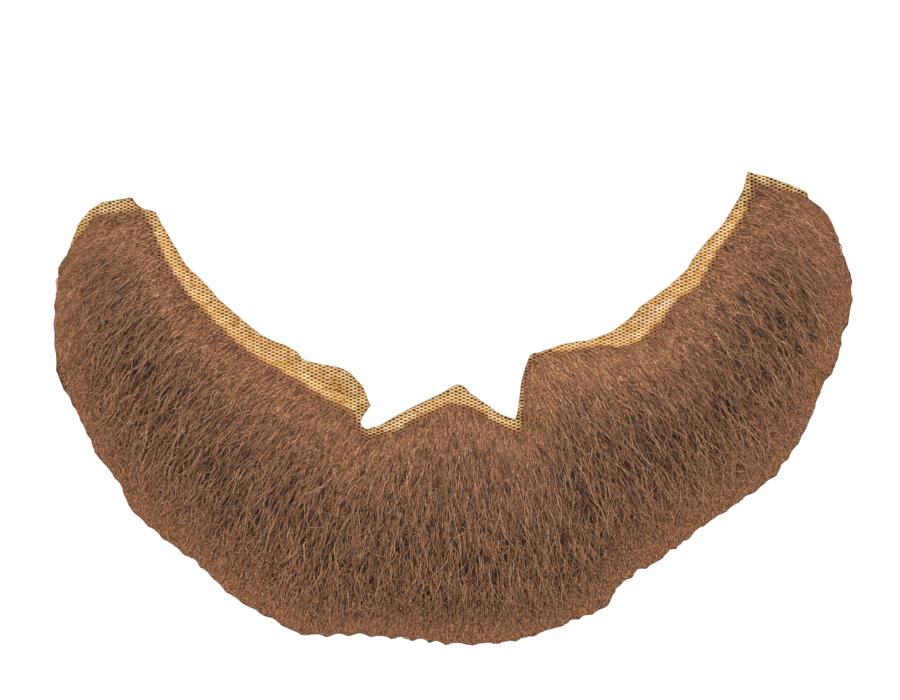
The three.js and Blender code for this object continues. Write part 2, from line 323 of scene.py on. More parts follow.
def new_piece(name, verts, faces, material):
    """Puts a point array in metres and an array of equal-sided faces into a mesh object."""
    mesh = bpy.data.meshes.new(name)
    verts, faces = np.asarray(verts, np.float32), np.asarray(faces, np.int32)
    sides = faces.shape[1]
    mesh.vertices.add(len(verts))
    mesh.vertices.foreach_set("co", verts.ravel())
    mesh.loops.add(faces.size)
    mesh.loops.foreach_set("vertex_index", faces.ravel())
    mesh.polygons.add(len(faces))
    mesh.polygons.foreach_set("loop_start", np.arange(0, faces.size, sides, dtype=np.int32))
    mesh.polygons.foreach_set("use_smooth", np.full(len(faces), True))
    mesh.update(calc_edges=True)
    mesh.materials.append(material)
    return add(name, mesh)


def give(piece, name, values):
    """One number for each vertex, for the material to read."""
    made = piece.data.attributes.new(name, "FLOAT", "POINT")
    made.data.foreach_set("value", np.asarray(values, np.float32).ravel())


def bake_map(piece, uv):
    """A map of the surface, one place for each vertex, named for the export."""
    mesh = piece.data
    corner = np.zeros(len(mesh.loops), np.int32)
    mesh.loops.foreach_get("vertex_index", corner)
    made = mesh.uv_layers.new(name="OFBake")
    made.data.foreach_set("uv", np.asarray(uv, np.float32)[corner].ravel())


corners = np.array([(-3, -3, 0), (3, -3, 0), (3, 3, 0), (-3, 3, 0)])
floor = new_piece("table", corners, [(0, 1, 2, 3)], table_top)
print("table:", len(floor.data.polygons), "face")

# %% [markdown]
# ## The net base
# Wig net is a fine mesh of hexagons, about a millimetre and a half across. The ground below
# the threads is dark, because little light gets back out of the small holes. So the base is
# a thin dark sheet cut to the outline, with raised threads laid over it wherever it shows.

# %% Outline of the net
SKIRT_SHARE = 0.62  # where the net ends under the hair
CUT = np.random.default_rng(SEED)
CUT_RADIUS = 95.0   # radius at which lengths along the cut are measured
NOTCH = (-31.5, -5.4, 2.8)  # middle and radius of the snip at the left corner of the mouth


def uneven(angle, depth=0.22):
    """A small unevenness of a scissor cut, in millimetres, by the angle along it."""
    places = np.arange(-160, 161, 3.1)
    return depth * np.interp(np.radians(angle) * CUT_RADIUS, places, CUT.uniform(-1, 1, len(places)))


NICKS = np.array([  # angle, how far the scissors strayed from the even edge, in millimetres
    (-88, 0), (-80, 0), (-76, 0.3), (-72, 1.2), (-68, 0.4), (-64, 1.2), (-60, 0.3), (-56, -0.5),
    (-52, -0.1), (-48, 0.3), (-44, -0.8), (-41.8, -0.6), (-40.2, 0.5),
    (-38, 0.2), (-36, 0), (-4, 0), (4, 0.3), (8, -0.6), (12, 0), (20, 0), (24, -0.3), (28, 0.6),
    (36, 0.4), (44, 0), (52, 0), (56, -0.6), (60, 0.4), (64, 0.8), (68, 0.8), (72, -0.5), (76, -1.5),
    (80, -0.7), (84, -1.4), (88, 0)])


def cut_edge(rows, step=0.75):
    """Plan points of a cut edge, by its table."""
    angle = np.linspace(rows[0, 0], rows[-1, 0], int(np.ptp(rows[:, 0]) / step) + 2)
    return spoke(angle, column(rows, 1)(angle) + column(NICKS, 1)(angle) + uneven(angle))


def net_outline():
    """The net's outline in order: left cheek, notch, lip, right cheek, sideburn, hidden hem."""
    turn = np.radians(np.linspace(165, 315, 12))
    notch = np.array(NOTCH[:2]) + NOTCH[2] * np.stack([np.cos(turn), np.sin(turn)], -1)
    hem = np.linspace(80, -72, 60)
    hidden = spoke(hem, radius_at(hem, SKIRT_SHARE))
    return np.concatenate([
        cut_edge(LEFT_CHEEK_EDGE), notch, cut_edge(LIP_EDGE), cut_edge(RIGHT_CHEEK_EDGE),
        spoke(RIGHT_END[:, 0], RIGHT_END[:, 1]), hidden, spoke(LEFT_END[::-1, 0], LEFT_END[::-1, 1])])


def inside(points, outline):
    """True for plan points inside a closed outline, by counting the edges to their right."""
    a, b = outline, np.roll(outline, -1, 0)
    x, y = points[:, None, 0], points[:, None, 1]
    crosses = (a[:, 1] > y) != (b[:, 1] > y)
    rise = np.where(b[:, 1] == a[:, 1], 1e-9, b[:, 1] - a[:, 1])
    return (crosses & (x < a[:, 0] + (y - a[:, 1]) * (b[:, 0] - a[:, 0]) / rise)).sum(1) % 2 == 1


outline = net_outline()
print("net outline:", len(outline), "points")

# %% Thin sheets cut to an outline


def area_of(outline):
    """Area inside a closed outline, above 0 where its points run anticlockwise."""
    x, y = outline[:, 0], outline[:, 1]
    return np.sum(x * np.roll(y, -1) - y * np.roll(x, -1)) / 2


def inset(outline, depth):
    """The outline moved inward by a depth, along the mean normal at each point."""
    along = np.roll(outline, -1, 0) - np.roll(outline, 1, 0)
    normal = np.stack([-along[:, 1], along[:, 0]], -1)
    normal /= np.linalg.norm(normal, axis=1, keepdims=True) + 1e-9
    return outline + normal * depth * np.sign(area_of(outline))


def flat_sheet(name, outline, low, high, material):
    """A thin closed sheet: the outline at two heights, joined by walls."""
    n = len(outline)
    ring = outline if area_of(outline) > 0 else outline[::-1]
    top = np.c_[ring, np.full(n, high)]
    bottom = np.c_[ring, np.full(n, low)]
    i = np.arange(n)
    walls = np.stack([i + n, np.roll(i, -1) + n, np.roll(i, -1), i], -1)
    mesh = bpy.data.meshes.new(name)
    faces = [list(range(n)), list(range(2 * n - 1, n - 1, -1))] + walls.tolist()
    mesh.from_pydata((np.r_[top, bottom] * MM).tolist(), [], faces)
    mesh.materials.append(material)
    return add(name, mesh)


print("inside the outline:", round(abs(area_of(outline)) / 100), "square centimetres")

# %% [markdown]
# ### Threads
# Each cell of the net is one hexagon. Its rim is a ridge shared with the neighbours, which
# falls to the hole and then drops to the sheet below. All cells are worked out at once.

# %% Hexagonal threads
CELL = np.array([0.975, 0.736])  # from a cell's middle to its corners, across and up
HOLE = 0.66                      # size of the hole, as a share of the cell
HOLE_FORM = np.array([1.1, 0.92])  # how much wider than high it is pulled
SLACK = 0.32                     # how far the threads stray
NET_TOP, NET_GROUND = 1.0, 0.35  # heights of the threads and of the sheet of painted shade between them


def wander(x, y, size, seed):
    """Smooth noise over the plan, from -1 to 1: a grid of random values, eased between."""
    table = np.random.default_rng(seed).uniform(-1, 1, (128, 128))
    u, v = x / size, y / size
    i, j = np.floor(u).astype(int), np.floor(v).astype(int)
    s, t = ease(u - i), ease(v - j)
    at = lambda p, q: table[p % 128, q % 128]
    return mix(mix(at(i, j), at(i + 1, j), s), mix(at(i, j + 1), at(i + 1, j + 1), s), t)


def cell_middles(keep):
    """Middles of the hexagons of a net that covers the beard, where keep(points) holds."""
    across, up = 1.5 * CELL[0], np.sqrt(3) * CELL[1]
    file, row = np.meshgrid(np.arange(-110, 111), np.arange(-75, 76))
    middle = np.stack([file * across, (row + 0.5 * (file % 2)) * up], -1).reshape(-1, 2)
    return middle[keep(middle)]


def cut_to(points, outline):
    """Points outside a closed outline, moved to the nearest place on it: a clean scissor cut."""
    shape = points.shape
    points = points.reshape(-1, 2).copy()
    out = np.flatnonzero(~inside(points, outline))
    a, b = outline, np.roll(outline, -1, 0)
    along = b - a
    size = (along ** 2).sum(1) + 1e-9
    offset = points[out, None] - a
    t = np.clip((offset * along).sum(-1) / size, 0, 1)
    near = a + along * t[..., None]
    best = ((points[out, None] - near) ** 2).sum(-1).argmin(1)
    points[out] = near[np.arange(len(out)), best]
    return points.reshape(shape)


print("a net over the whole fan:", len(cell_middles(lambda p: p[:, 0] < 999)), "cells")

# %% Raised threads round the holes
PUCKER = ((-44.5, 9.5), (-40.5, 2.0), 2.2)  # ends and width of a place where threads are drawn up
GLOSS_LINE = ((71.5, 32.3), (81.5, 39.8), 1.1)    # ends and width of a pale line of painted highlight


def near(points, place):
    """How close points are to a line between two ends: 1 on it, fading over its width."""
    a, b, width = np.array(place[0]), np.array(place[1]), place[2]
    t = np.clip(((points - a) @ (b - a)) / ((b - a) @ (b - a)), 0, 1)
    far = np.linalg.norm(points - a - (b - a) * t[..., None], axis=-1)
    return hill(far, 0, width)


def threads(name, middle, base, top, material, outline, hole=HOLE):
    """Raised threads round hexagonal holes. Rings of each cell: ridge, hole's rim, hole's foot.
    base and top give heights from plan points; the rings are trimmed to the outline."""
    turn = np.radians(60 * np.arange(6))
    spread = np.stack([np.cos(turn), np.sin(turn)], -1)
    rng = np.random.default_rng(SEED)
    wide = hole + rng.uniform(-0.07, 0.07, (len(middle), 1, 1))
    ring = lambda share: middle[:, None] + spread * CELL * share
    plan = np.stack([ring(1.0), ring(wide * HOLE_FORM), ring(wide * HOLE_FORM * 0.97)], 1)
    x, y = plan[..., 0], plan[..., 1]
    drawn = near(plan, PUCKER)
    loose = lambda k: SLACK * wander(x, y, 7, SEED + k)
    crumpled = lambda k: drawn * wander(x, y, 1.6, SEED + 3 + k)
    whole = np.stack([x + loose(0) + 0.9 * crumpled(0), y + loose(1) + 0.4 * crumpled(1)], -1)
    plan = cut_to(whole, outline)
    trimmed = np.abs(plan - whole).sum(-1) > 1e-6
    ridge, foot = top(plan), base(plan)
    lift = 0.10 * wander(x, y, 2.5, SEED + 2)
    rise = np.array([1.0, 0.6, 0.0])[None, :, None]
    height = mix(foot, ridge + lift, rise)
    verts = np.concatenate([plan, height[..., None]], -1)
    k = np.arange(6)
    n = np.roll(k, -1)
    band = np.stack([k, n, n + 6, k + 6], -1)
    quads = np.concatenate([band, band + 6])
    faces = (quads[None] + 18 * np.arange(len(middle))[:, None, None]).reshape(-1, 4)
    piece = new_piece(name, verts.reshape(-1, 3) * MM, faces, material)
    # Painted highlight: the level runs of each rim are lighter and its side corners darker, most on the
    # hole's rim, less on the ridge and not at the foot.
    tips = np.array([-0.3, 0.2, 0.2, -0.3, 0.2, 0.2])
    tone = rng.uniform(0.25, 0.75, (len(middle), 1, 1)) + tips * np.array([0.8, 1, 0])[None, :, None]
    give(piece, "tone", tone - 0.3 * drawn - 0.5 * trimmed)
    # Painted highlight: a pale line where the net catches the light, uneven along its length.
    give(piece, "worn", near(plan, GLOSS_LINE) * (0.6 + 0.4 * wander(x, y, 1.3, SEED + 5)))
    side = int(np.ceil(np.sqrt(len(middle))))
    spot = np.stack([np.arange(len(middle)) % side, np.arange(len(middle)) // side], -1) + 0.5
    uv = spot[:, None, None] + spread * np.array([0.48, 0.3, 0.12])[None, :, None, None]
    bake_map(piece, uv.reshape(-1, 2) / side)
    return piece


def level(height):
    """A height that is the same everywhere."""
    return lambda plan: height


print("a cell is", np.round(2 * CELL, 2), "mm across and up")

# %% [markdown]
# ### Finish of the threads
# The thread is cream to tan cotton. Its colour changes from cell to cell, and along each rim a
# painted highlight lightens the level runs of thread. A pale painted highlight crosses the
# threads on the right cheek, and a fine noise gives the twist of the yarn as bump and as roughness.

# %% Thread finish
net_thread, start, shader = finish("net_thread", 0.8, 0.2)
tone = 0.75 * start.read("tone") + 0.25 * start.noise(90.0)
cream = tone.ramp((0.2, srgb(199, 153, 82)), (0.5, srgb(228, 194, 127)), (0.8, srgb(247, 230, 188)))
# Along the painted highlight line the threads go to near white.
paint(shader, start.read("worn").blend(cream, srgb(240, 232, 214)))
twist = start.noise(2600.0, detail=1.0)
paint(shader, 0.95 - 0.3 * twist, "Roughness")
paint(shader, twist.relief(0.35, 0.0002), "Normal")
print("net_thread has", len(net_thread.node_tree.nodes), "nodes")

# %% [markdown]
# ### What shows through the holes
# Below the threads lies a darker ground: painted shade, the colour the holes take in the shade of
# the threads. It is gold along the cheeks and browner at the lip and the ends, so it is blended by
# place. The side that lies on the table shows the same hexagons as pale lines, worked out from the
# distance to the nearest cell's middle.

# %% Ground of the net
net_hole_shade, start, shader = finish("net_hole_shade", 0.9, 0.1)
grain = start.noise(300.0)
across, up = start.place().part("X"), start.place().part("Y")
middle_part = start.math("ABSOLUTE", across).remap(0.03, 0.06, 1.0, 0.0)
end_part = up.remap(0.066, 0.078)
# gold, deep and dusk are painted shade: the colour seen in the holes, browner at the lip and darker at
# the ends.
gold = grain.blend(srgb(102, 52, 18), srgb(162, 90, 30))
deep = grain.blend(srgb(64, 32, 22), srgb(118, 64, 36))
dusk = grain.blend(srgb(56, 26, 14), srgb(104, 54, 26))
hole_shade = end_part.blend(middle_part.blend(gold, deep), dusk)


def to_hole(shift):
    """Distance from the nearest cell's middle, 1 on the threads, in one of the two staggered sets."""
    x = across * float(1000 / CELL[0]) + 1.5 * shift
    y = up * float(1000 / CELL[1]) + 0.866 * shift
    x = start.math("ABSOLUTE", start.math("WRAP", x, 1.5, -1.5))
    y = start.math("ABSOLUTE", start.math("WRAP", y, 0.866, -0.866))
    return start.math("MAXIMUM", y, x * 0.866 + y * 0.5) * 1.155


ring = start.math("MINIMUM", to_hole(0), to_hole(1))
facing = start.node("ShaderNodeNewGeometry", out="Normal").part("Z")
below = start.math("LESS_THAN", facing, -0.5) * start.math("GREATER_THAN", ring, HOLE)
paint(shader, below.blend(hole_shade, srgb(222, 186, 122)))
paint(shader, 0.95 - 0.15 * grain, "Roughness")
print("net_hole_shade has", len(net_hole_shade.node_tree.nodes), "nodes")

# %% Net sheet and its threads
net_cut = inset(outline, 0.1)  # just inside the threads
# The sheet's dark colour is painted shade, the shade seen through the holes.
net_sheet = flat_sheet("net_sheet", net_cut, 0.0, NET_GROUND, net_hole_shade)
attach(net_sheet, "root")
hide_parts("net_base")


def shows(points):
    """Cells inside the outline and not far under the hair."""
    angle, radius = on_fan(points)
    covered = (radius > hair_root(angle) + 3) & (radius < hair_tip(angle) - 6)
    covered &= (angle > HAIR_FROM + 3) & (angle < HAIR_TO - 3)
    return inside(points, inset(outline, -0.35)) & ~covered


middle = cell_middles(shows)
net_threads = threads("net_threads", middle, level(NET_GROUND - 0.05), level(NET_TOP), net_thread,
                      outline)
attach(net_threads, "root")
float(abs(area_of(net_cut)) * MM * MM)
print("cells of net:", len(middle))

# %% [markdown]
# ### The strip along the hairline
# Next to the hair a second strip of net lies on the first. Its holes show a sheet in painted
# shade: the gold of the threads below as they look in the shade of the holes, browner at the lip.
# It is lighter than the dark ground, which makes the denser band along the hairline.

# %% Hem strips
HEM_SHOWN, HEM_TUCK, HEM_INSET = 3.5, 3.0, 0.8  # shown, under the hair, and back from the cut
hem_hole_shade, start, shader = finish("hem_hole_shade", 0.9, 0.1)
grain = start.noise(500.0)
lip_part = start.math("ABSOLUTE", start.place().part("X")).remap(0.03, 0.04, 1.0, 0.0)
# Painted shade: the lower threads as they look in the holes, browner at the lip.
gold = grain.blend(srgb(126, 70, 24), srgb(176, 108, 40))
deep = grain.blend(srgb(92, 46, 20), srgb(146, 82, 32))
paint(shader, lip_part.blend(gold, deep))
paint(shader, 0.95 - 0.15 * grain, "Roughness")

HEMS = {"left": (LEFT_CHEEK_EDGE, -80, -23), "lip": (LIP_EDGE, -15.5, 13.5),
        "right": (RIGHT_CHEEK_EDGE, 30, 85)}
for side, (edge_rows, first, last) in HEMS.items():
    angle = np.linspace(first, last, int((last - first) / 1.0))
    shown = np.maximum(column(edge_rows, 1)(angle) + HEM_INSET, hair_root(angle) - HEM_SHOWN)
    strip = np.concatenate([spoke(angle, shown), spoke(angle, hair_root(angle) + HEM_TUCK)[::-1]])
    strip_cut = inset(strip, 0.25)
    sheet = flat_sheet("hem_sheet_" + side, strip_cut, NET_TOP + 0.05, NET_TOP + 0.2, hem_hole_shade)
    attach(sheet, "root")
    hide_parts("net_hem_" + side)
    cells = cell_middles(lambda p: inside(p, inset(strip, -0.25)))
    cover = threads("hem_threads_" + side, cells, level(NET_TOP + 0.18), level(NET_TOP + 0.5),
                    net_thread, outline, hole=0.65)
    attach(cover, "root")
    steps = np.diff(spoke(angle, hair_root(angle)), axis=0)
    float(abs(area_of(strip_cut)) * MM * MM)
    print("hem", side, len(cells), "cells")

# %% [markdown]
# ## Where the tips are cut
# The hair was trimmed in short snips, so its lower rim is a row of shallow bites with small
# points between them, and it strays a little from an even curve. A random edge would look
# torn, so one function gives the cut by angle, and the undercoat and every strand end on it.

# %% Cut of the tips
RIM = np.array([  # angle, how far the tips stand past the even rim, in millimetres
    (-86, 0), (-80, 0.8), (-78.3, -0.6), (-77.5, 1.2), (-76, 0.5), (-72, 1.2), (-68, 1.7), (-64, 2.8),
    (-60, 0.9), (-56, -0.6), (-52, -0.2), (-48, -1.8), (-44, 1.0), (-40, 0.4), (-32, -1.0), (-28, 0.5),
    (-24, 0), (-20, 0.1), (-16, 0.4), (-12, -0.8), (-8, 0.2), (-4, 0.3), (0, 0.8), (4, 0.8), (8, 0.8),
    (12, 0), (20, 0.5), (24, 0.1), (28, 0.6), (32, 1.0), (36, -0.8), (40, -0.4), (44, -0.2), (48, 0.6),
    (52, -0.1), (56, -0.2), (60, -0.4), (64, 1.4), (68, 1), (72, 2), (76, 1.8), (80, 0), (84, 0),
    (86.5, -0.5), (88.5, -3)])
RIM_RADIUS, BITE = 165.0, 7.5  # where lengths along the rim are measured, and how wide a bite is


def fringe(angle):
    """Where the tips end, as a share of the hair's length: the rim's table, and on it shallow
    bites about seven millimetres wide with a pointed tuft between each two."""
    arc = np.radians(angle) * RIM_RADIUS
    bite = np.abs(np.sin(np.pi * (arc / BITE + 0.4 * wander(arc, 0 * arc, 14, 31))))
    depth = 0.7 + 0.5 * wander(arc, 0 * arc, 9, 33)
    past = column(RIM, 1)(angle) / (hair_tip(angle) - hair_root(angle))
    return 1.006 - 0.016 * bite * depth + past + 0.0015 * wander(arc, 0 * arc, 1.6, 32)


cut = fringe(np.arange(-80, 80.0))
print("tips end between", np.round([cut.min(), cut.max()], 3))

# %% [markdown]
# ## The undercoat
# Under the top hairs lies a dense mass of hair, with painted shade that darkens it where the coat
# is open, as in the gaps between strands. It could be a heap of many more strands, but a pad is
# lighter and hides the net as well. First come its heights: the coat rises from the net at the
# hairline and at the top of each sideburn, and falls to the table at the rim.

# %% Heights through the hair
NET_SEAT, HEM_SEAT = 1.3, 1.75  # where the hair rests on the net and on the hem
END_LOW, END_RUN = 0.3, 8.0     # the hair's low share at a sideburn's end, and how soon it is full


def crown(angle):
    """Scale of the hair's height by angle, in millimetres: 17 at the chin, and with the cosine's
    power of 0.7 down towards 7 at the ends."""
    return 7 + 10 * np.maximum(np.cos(np.radians(angle)), 0) ** 0.7


def end_rise(angle, share):
    """A quarter wave from low to full over the first millimetres from the end of a sideburn."""
    arc = np.radians(np.minimum(angle - HAIR_FROM, HAIR_TO - angle)) * radius_at(angle, share)
    return mix(END_LOW, 1.0, np.sin(np.pi / 2 * np.clip(arc / END_RUN, 0, 1)))


def pile_top(angle, share):
    """Height of the hair's surface at a share of the way from roots to tips: half a wave, lowest
    where it is cut, on a seat that steps down from the hem to the table."""
    share = np.clip(share / fringe(angle), 0, 1)
    seat = mix(HEM_SEAT, 0, ease(share, 0, 0.9))
    swell = 0.8 * np.maximum(np.sin(np.pi * share), 0) ** 0.8
    return seat + crown(angle) * (mix(0.1, 0.03, share) + swell * end_rise(angle, share))


def seat_of(angle, share):
    """Height of what lies under the hair: hem, then net, then the table. At the two ends the net
    reaches almost to the rim."""
    reach = np.interp(angle, np.r_[-88, LEFT_END[1:, 0], -72, 80, RIGHT_END[::-1, 0][:2]],
                      np.r_[136, LEFT_END[1:, 1], 0, 0, RIGHT_END[::-1, 1][:2]])
    past_net = (share > 0.68) & (radius_at(angle, share) > reach + 1)
    return np.where(share < 0.10, HEM_SEAT, np.where(past_net, 0.02, NET_SEAT))


coat = pile_top(np.array([-80.0, 0.0, 80.0]), 0.5)
print("coat is", np.round(coat, 1), "mm high at left, chin and right")

# %% [markdown]
# ### Zones of the coat
# The coat isn't the same everywhere. It is felted at the hairline, the rim and the two ends, and
# open between them, where dark gaps show. Formulas give this by place, and not a list of spots, so
# that the undercoat and every strand agree.

# %% Zones of the coat
COMB = 0.12  # how much the combed lines close in on the chin
ARC = 2.3    # millimetres to a degree of the fan, halfway out


def comb_place(angle, share):
    """Angle at the hairline of the combed line that passes through a place."""
    return angle / (1 - COMB * share * (1 + 0.5 * share))


def openness(angle, share):
    """How open the coat is, from 0 where it is felted to 1 where dark gaps show between strands:
    felted at the hairline, the rim and the two sideburn ends."""
    body = np.interp(share, [0.0, 0.1, 0.28, 0.42, 0.74, 0.88, 0.97],
                     [0.0, 0.12, 0.7, 1.0, 1.0, 0.42, 0.0])
    chin = hill(angle, 0, 25) * ease(share, 0.65, 0.8) * (1 - ease(share, 0.84, 0.96))
    end = ease(np.abs(angle), 68, 84)
    return np.clip(body + 0.35 * chin, 0, 1) * (1 - 0.95 * end)


def from_edge(angle, radius):
    """Distance in millimetres from the hairline or the end of a sideburn, whichever is nearer. At
    the right sideburn the hair reaches further up close to the cheek."""
    last = HAIR_TO + np.clip(1.3 - 0.13 * (radius - 113), -0.8, 1.3)
    arc = np.minimum(angle - HAIR_FROM, last - angle)
    return np.minimum(radius - hair_root(angle), np.radians(arc) * radius)


print("the coat is open by", np.round(openness(np.array([-80.0, 0.0, 80.0]), 0.5), 2),
      "at left, chin and right")

# %% [markdown]
# ### The pad
# The pad is one cross-section carried round the fan, with its top about two millimetres below the
# top strands. Combed furrows run along it, so that the gaps between the strands look deep.

# %% Pad of the undercoat
PAD_DEPTH = 2.2  # how far the pad lies below the hair's surface


def pad_top(angle, share):
    """Top of the undercoat: a depth below the hair's surface, furrowed along the combing."""
    line = comb_place(angle, share) * ARC
    furrow = wander(line * 1.4, share * 60, 2.2, 5) + 0.6 * wander(line * 3, share * 60, 2.2, 6)
    top = pile_top(angle, share) - PAD_DEPTH + 0.8 * furrow * ease(share, 0.0, 0.15)
    return np.maximum(top, seat_of(angle, share) + 0.15)


def undercoat_piece(material, top_count=36):
    """The pad: its cross-section, over the top and back below, carried round the fan and closed at
    both ends."""
    angle = np.linspace(HAIR_FROM + 0.5, HAIR_TO - 0.5, 480)[:, None]
    over, under = np.linspace(0, 1, top_count), [1.0, 0.85, 0.72, 0.5, 0.3, 0.14, 0.06]
    share = mix(0.014, fringe(angle) - 0.001, np.r_[over, under][None])
    rows, n = share.shape
    radius = radius_at(angle, share)
    top, seat = pad_top(angle, share), seat_of(angle, share) + 0.02
    height = np.where(np.arange(n) < top_count, top, seat)
    verts = np.concatenate([spoke(angle, radius), height[..., None]], -1)
    i, j = np.meshgrid(np.arange(rows - 1), np.arange(n), indexing="ij")
    a, b = i * n + j, i * n + (j + 1) % n
    quads = np.stack([a, a + n, b + n, b], -1).reshape(-1, 4)
    k = np.arange(n // 2 - 1)
    ends = np.stack([k, k + 1, n - 2 - k, n - 1 - k], -1)
    caps = np.concatenate([ends, ends[:, ::-1] + (rows - 1) * n])
    piece = new_piece("undercoat", verts.reshape(-1, 3) * MM, np.concatenate([quads, caps]), material)
    give(piece, "share", share)
    give(piece, "line", comb_place(angle, share))
    # Near the edges of the sideburn ends the pad takes more painted shade, as an open coat has.
    bare = (1 - ease(from_edge(angle, radius), 3, 8)) * ease(np.abs(angle), 64, 74)
    give(piece, "open", np.maximum(openness(angle, share), 0.6 * bare))
    return piece


undercoat, start, shader = finish("undercoat", 0.8, 0.15)
streak = start.noise(1.0, start.flat(start.read("line") * 9.0, start.read("share") * 5.0), detail=4.0)
# Painted shade: the pad is brown where the coat is felted and near black where it is open.
zone = start.read("open").ramp((0.0, srgb(100, 68, 47)), (0.15, srgb(84, 57, 40)),
                               (0.6, srgb(54, 43, 36)), (1.0, srgb(40, 34, 31)))
paint(shader, zone.tint(streak.ramp((0.3, (0.45, 0.45, 0.45)), (0.7, (1.0, 1.0, 1.0)))))
paint(shader, 0.9 - 0.2 * streak, "Roughness")
paint(shader, streak.relief(0.4, 0.0005), "Normal")
pad = undercoat_piece(undercoat)
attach(pad, "root")
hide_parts("hair")
print("undercoat faces:", len(pad.data.polygons))

# %% [markdown]
# ### Rows of knots
# Close to the hairline the hair is thin, and the net it is knotted into shows through as
# rows of brown knots. They are cells of the same net, in the hair's colour, on the undercoat.

# %% Knots along the hairline
KNOT_ROWS = 7.0  # how far from the hair's edge the knots show, in millimetres
knot, start, shader = finish("knot", 0.7, 0.15)
tone = start.read("tone")
paint(shader, tone.blend(srgb(140, 96, 66), srgb(176, 125, 91)))
paint(shader, 0.8 - 0.2 * tone, "Roughness")


def knot_zone(points):
    """Cells in the first rows of the hair, measured from its edge."""
    angle, radius = on_fan(points)
    deep = from_edge(angle, radius)
    return (deep > -0.3) & (deep < KNOT_ROWS) & (radius < hair_tip(angle) - 3)


def on_pad(extra):
    """Height a little above the undercoat, from plan points."""
    def height(plan):
        angle, radius = on_fan(plan)
        return pad_top(angle, np.clip(share_of(angle, radius), 0, 1)) + extra
    return height


edge = np.linspace(HAIR_FROM - 0.6, HAIR_TO + 1.8, 300)
hairline = np.concatenate([spoke(edge, hair_root(edge) - 0.45), spoke(edge, hair_tip(edge))[::-1]])
middle = cell_middles(knot_zone)
knots = threads("knot_rows", middle, on_pad(-0.02), on_pad(0.3), knot, hairline, hole=0.6)
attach(knots, "root")
print("knots:", len(middle))

# %% [markdown]
# ## The strands
# Each hair is a thin ribbon that follows the combing: out from the hairline along the fan,
# and turned towards the chin on the cheeks. Long strands wave together in small clumps, with
# dark gaps between them. Short frizzy ones fill the roots and the rim. Every family of
# strands is worked out as whole arrays.

# %% Combed lines


def comb_heading(angle, share):
    """Direction of the combing in degrees, turned from the spoke towards the chin. At the jaws
    the hair near the roots is combed a little the other way first."""
    share, wide = np.clip(share, 0, 1), np.abs(angle)
    turn = (wide / 90) ** 1.4 * (25 + 45 * share) * (1 - 0.35 * ease(wide, 58, 82))
    back = np.where(angle < 0, 28, 18) * hill(wide, 36, 22) * (1 - share) ** 1.5
    return np.sign(angle) * (turn - back)


def combed(angle, share, length, stations, sway):
    """Paths of strands from their roots: each step goes along the combing, turned by its sway."""
    spot = spoke(angle, radius_at(angle, share))
    path = [spot]
    for step in range(stations - 1):
        a, r = on_fan(spot)
        turn = np.radians(comb_heading(a, share_of(a, r)) + sway(step))
        out = np.radians(a)
        radial = np.stack([np.sin(out), -np.cos(out)], -1)
        sideways = np.stack([np.cos(out), np.sin(out)], -1)
        heading = radial * np.cos(turn)[:, None] - sideways * np.sin(turn)[:, None]
        spot = spot + heading * (length / (stations - 1))[:, None]
        path.append(spot)
    return np.stack(path, 1)


print("combing at the left jaw:", np.round(comb_heading(-40.0, 0.5), 1), "degrees off the spoke")

# %% [markdown]
# ### Where the roots go
# Roots placed at random leave bald spots and knots, so they are spread by an even sequence: the
# fractions of 0, 1, 2 and so on times an irrational number keep away from each other.

# %% Evenly spread roots
EVEN = {"angle": 0.7548776662, "share": 0.5698402910, "depth": 0.4142135624, "dark": 0.6180339887,
        "tone": 0.6457513111}  # an irrational step for each thing that is spread evenly


def even(count, seed, what):
    """Fractions of k times an irrational step, for k from 0, shifted by the seed."""
    return (np.arange(count) * EVEN[what] + seed * 0.618) % 1


def even_roots(count, seed, angles, share_range, lean):
    """Angles and shares of roots, spread over the area between two shares: the angle where the
    running sum of area reaches an even fraction, and a share that leans to one side."""
    grid = np.linspace(*angles, 400)
    low, high = (radius_at(grid, s) for s in share_range)
    total = np.cumsum(high ** 2 - low ** 2)
    angle = np.interp(mix(total[0], total[-1], even(count, seed, "angle")), total, grid)
    return angle, mix(*share_range, even(count, seed, "share") ** lean)


print("first even steps:", np.round(even(4, 0, "angle"), 2))

# %% [markdown]
# ### Light and shade in the coat
# Little light reaches hair that lies deep, and an open coat shows more of it. Lamps alone leave
# the coat too even, because a thin ribbon shades its neighbours only a little. So each strand
# carries a lightness of its own.

# %% Light along the strands


def belts(angle, share):
    """Belts of light and shade across the combing: lighter near the roots and near the rim, darker
    at the middle of the length, except at the chin and the two ends. Some places are lighter."""
    wide = np.abs(angle)
    away = ease(wide, 5, 22) * (1 - ease(wide, 72, 80))
    belt = 0.12 * hill(share, 0.22, 0.1) - 0.24 * hill(share, 0.5, 0.12) + 0.1 * hill(share, 0.86, 0.07)
    left_chin = 0.10 * hill(angle, -22, 28) * ease(share, 0.3, 0.6)
    right_root = 0.09 * hill(angle, 35, 14) * (1 - ease(share, 0.2, 0.4))
    ends = 0.14 * ease(wide, 66, 80) * (1 - ease(share, 0.15, 0.4))
    return away * belt + left_chin + right_root + ends


